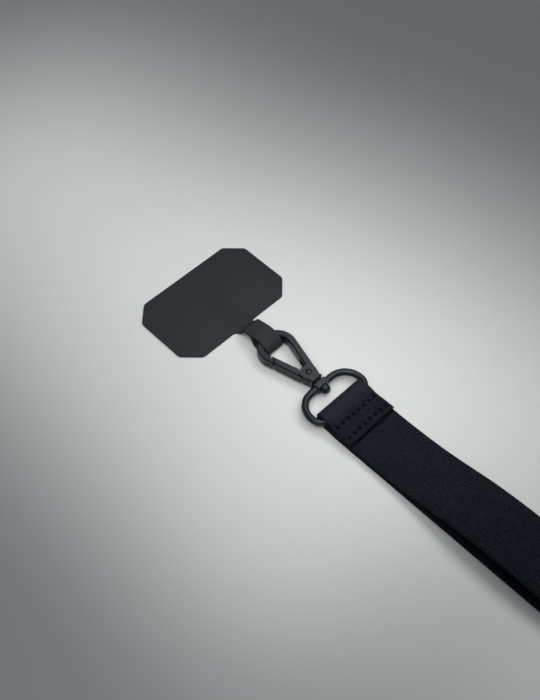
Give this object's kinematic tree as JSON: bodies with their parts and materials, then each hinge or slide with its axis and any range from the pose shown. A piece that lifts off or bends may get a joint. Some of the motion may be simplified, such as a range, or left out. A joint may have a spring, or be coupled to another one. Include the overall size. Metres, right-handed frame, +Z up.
{
  "type": "phone crossbody strap",
  "caption": "Flat patch for inside a phone case, its tab looped through a gated swivel hook, with an oval ring that carries a long closed loop of flat woven webbing.",
  "frame": {"origin": "centre of the patch's underside, on the surface that the strap lies on", "axes": "+X from the patch along the hook and the webbing, +Y across it, +Z up"},
  "size_m": [0.7971, 0.06, 0.0154],
  "materials": {
    "patch_sheet": "matt, very fine grain",
    "black_metal": "satin black coating on cast and drawn metal",
    "webbing": "woven twill with sewn box of stitches"
  },
  "bodies": {
    "sling": {"strap": "webbing", "ring": "black_metal"},
    "hook": {"hook_body": "black_metal", "gate_rivet": "black_metal", "phone_patch": "patch_sheet"},
    "lever": {"gate": "black_metal"}
  },
  "joints": [
    {"name": "swivel", "type": "hinge", "parent": "sling", "child": "hook", "pos_m": [0.0638, 0, 0.0037], "axis": [1, 0, 0], "continuous": true},
    {"name": "gate_pivot", "type": "hinge", "parent": "hook", "child": "lever", "pos_m": [0.0568, 0, 0.0037], "axis": [0, 0, -1], "range_deg": [0, 24], "stiffness_Nm_per_rad": 0.02, "springref_deg": -11.46}
  ]
}
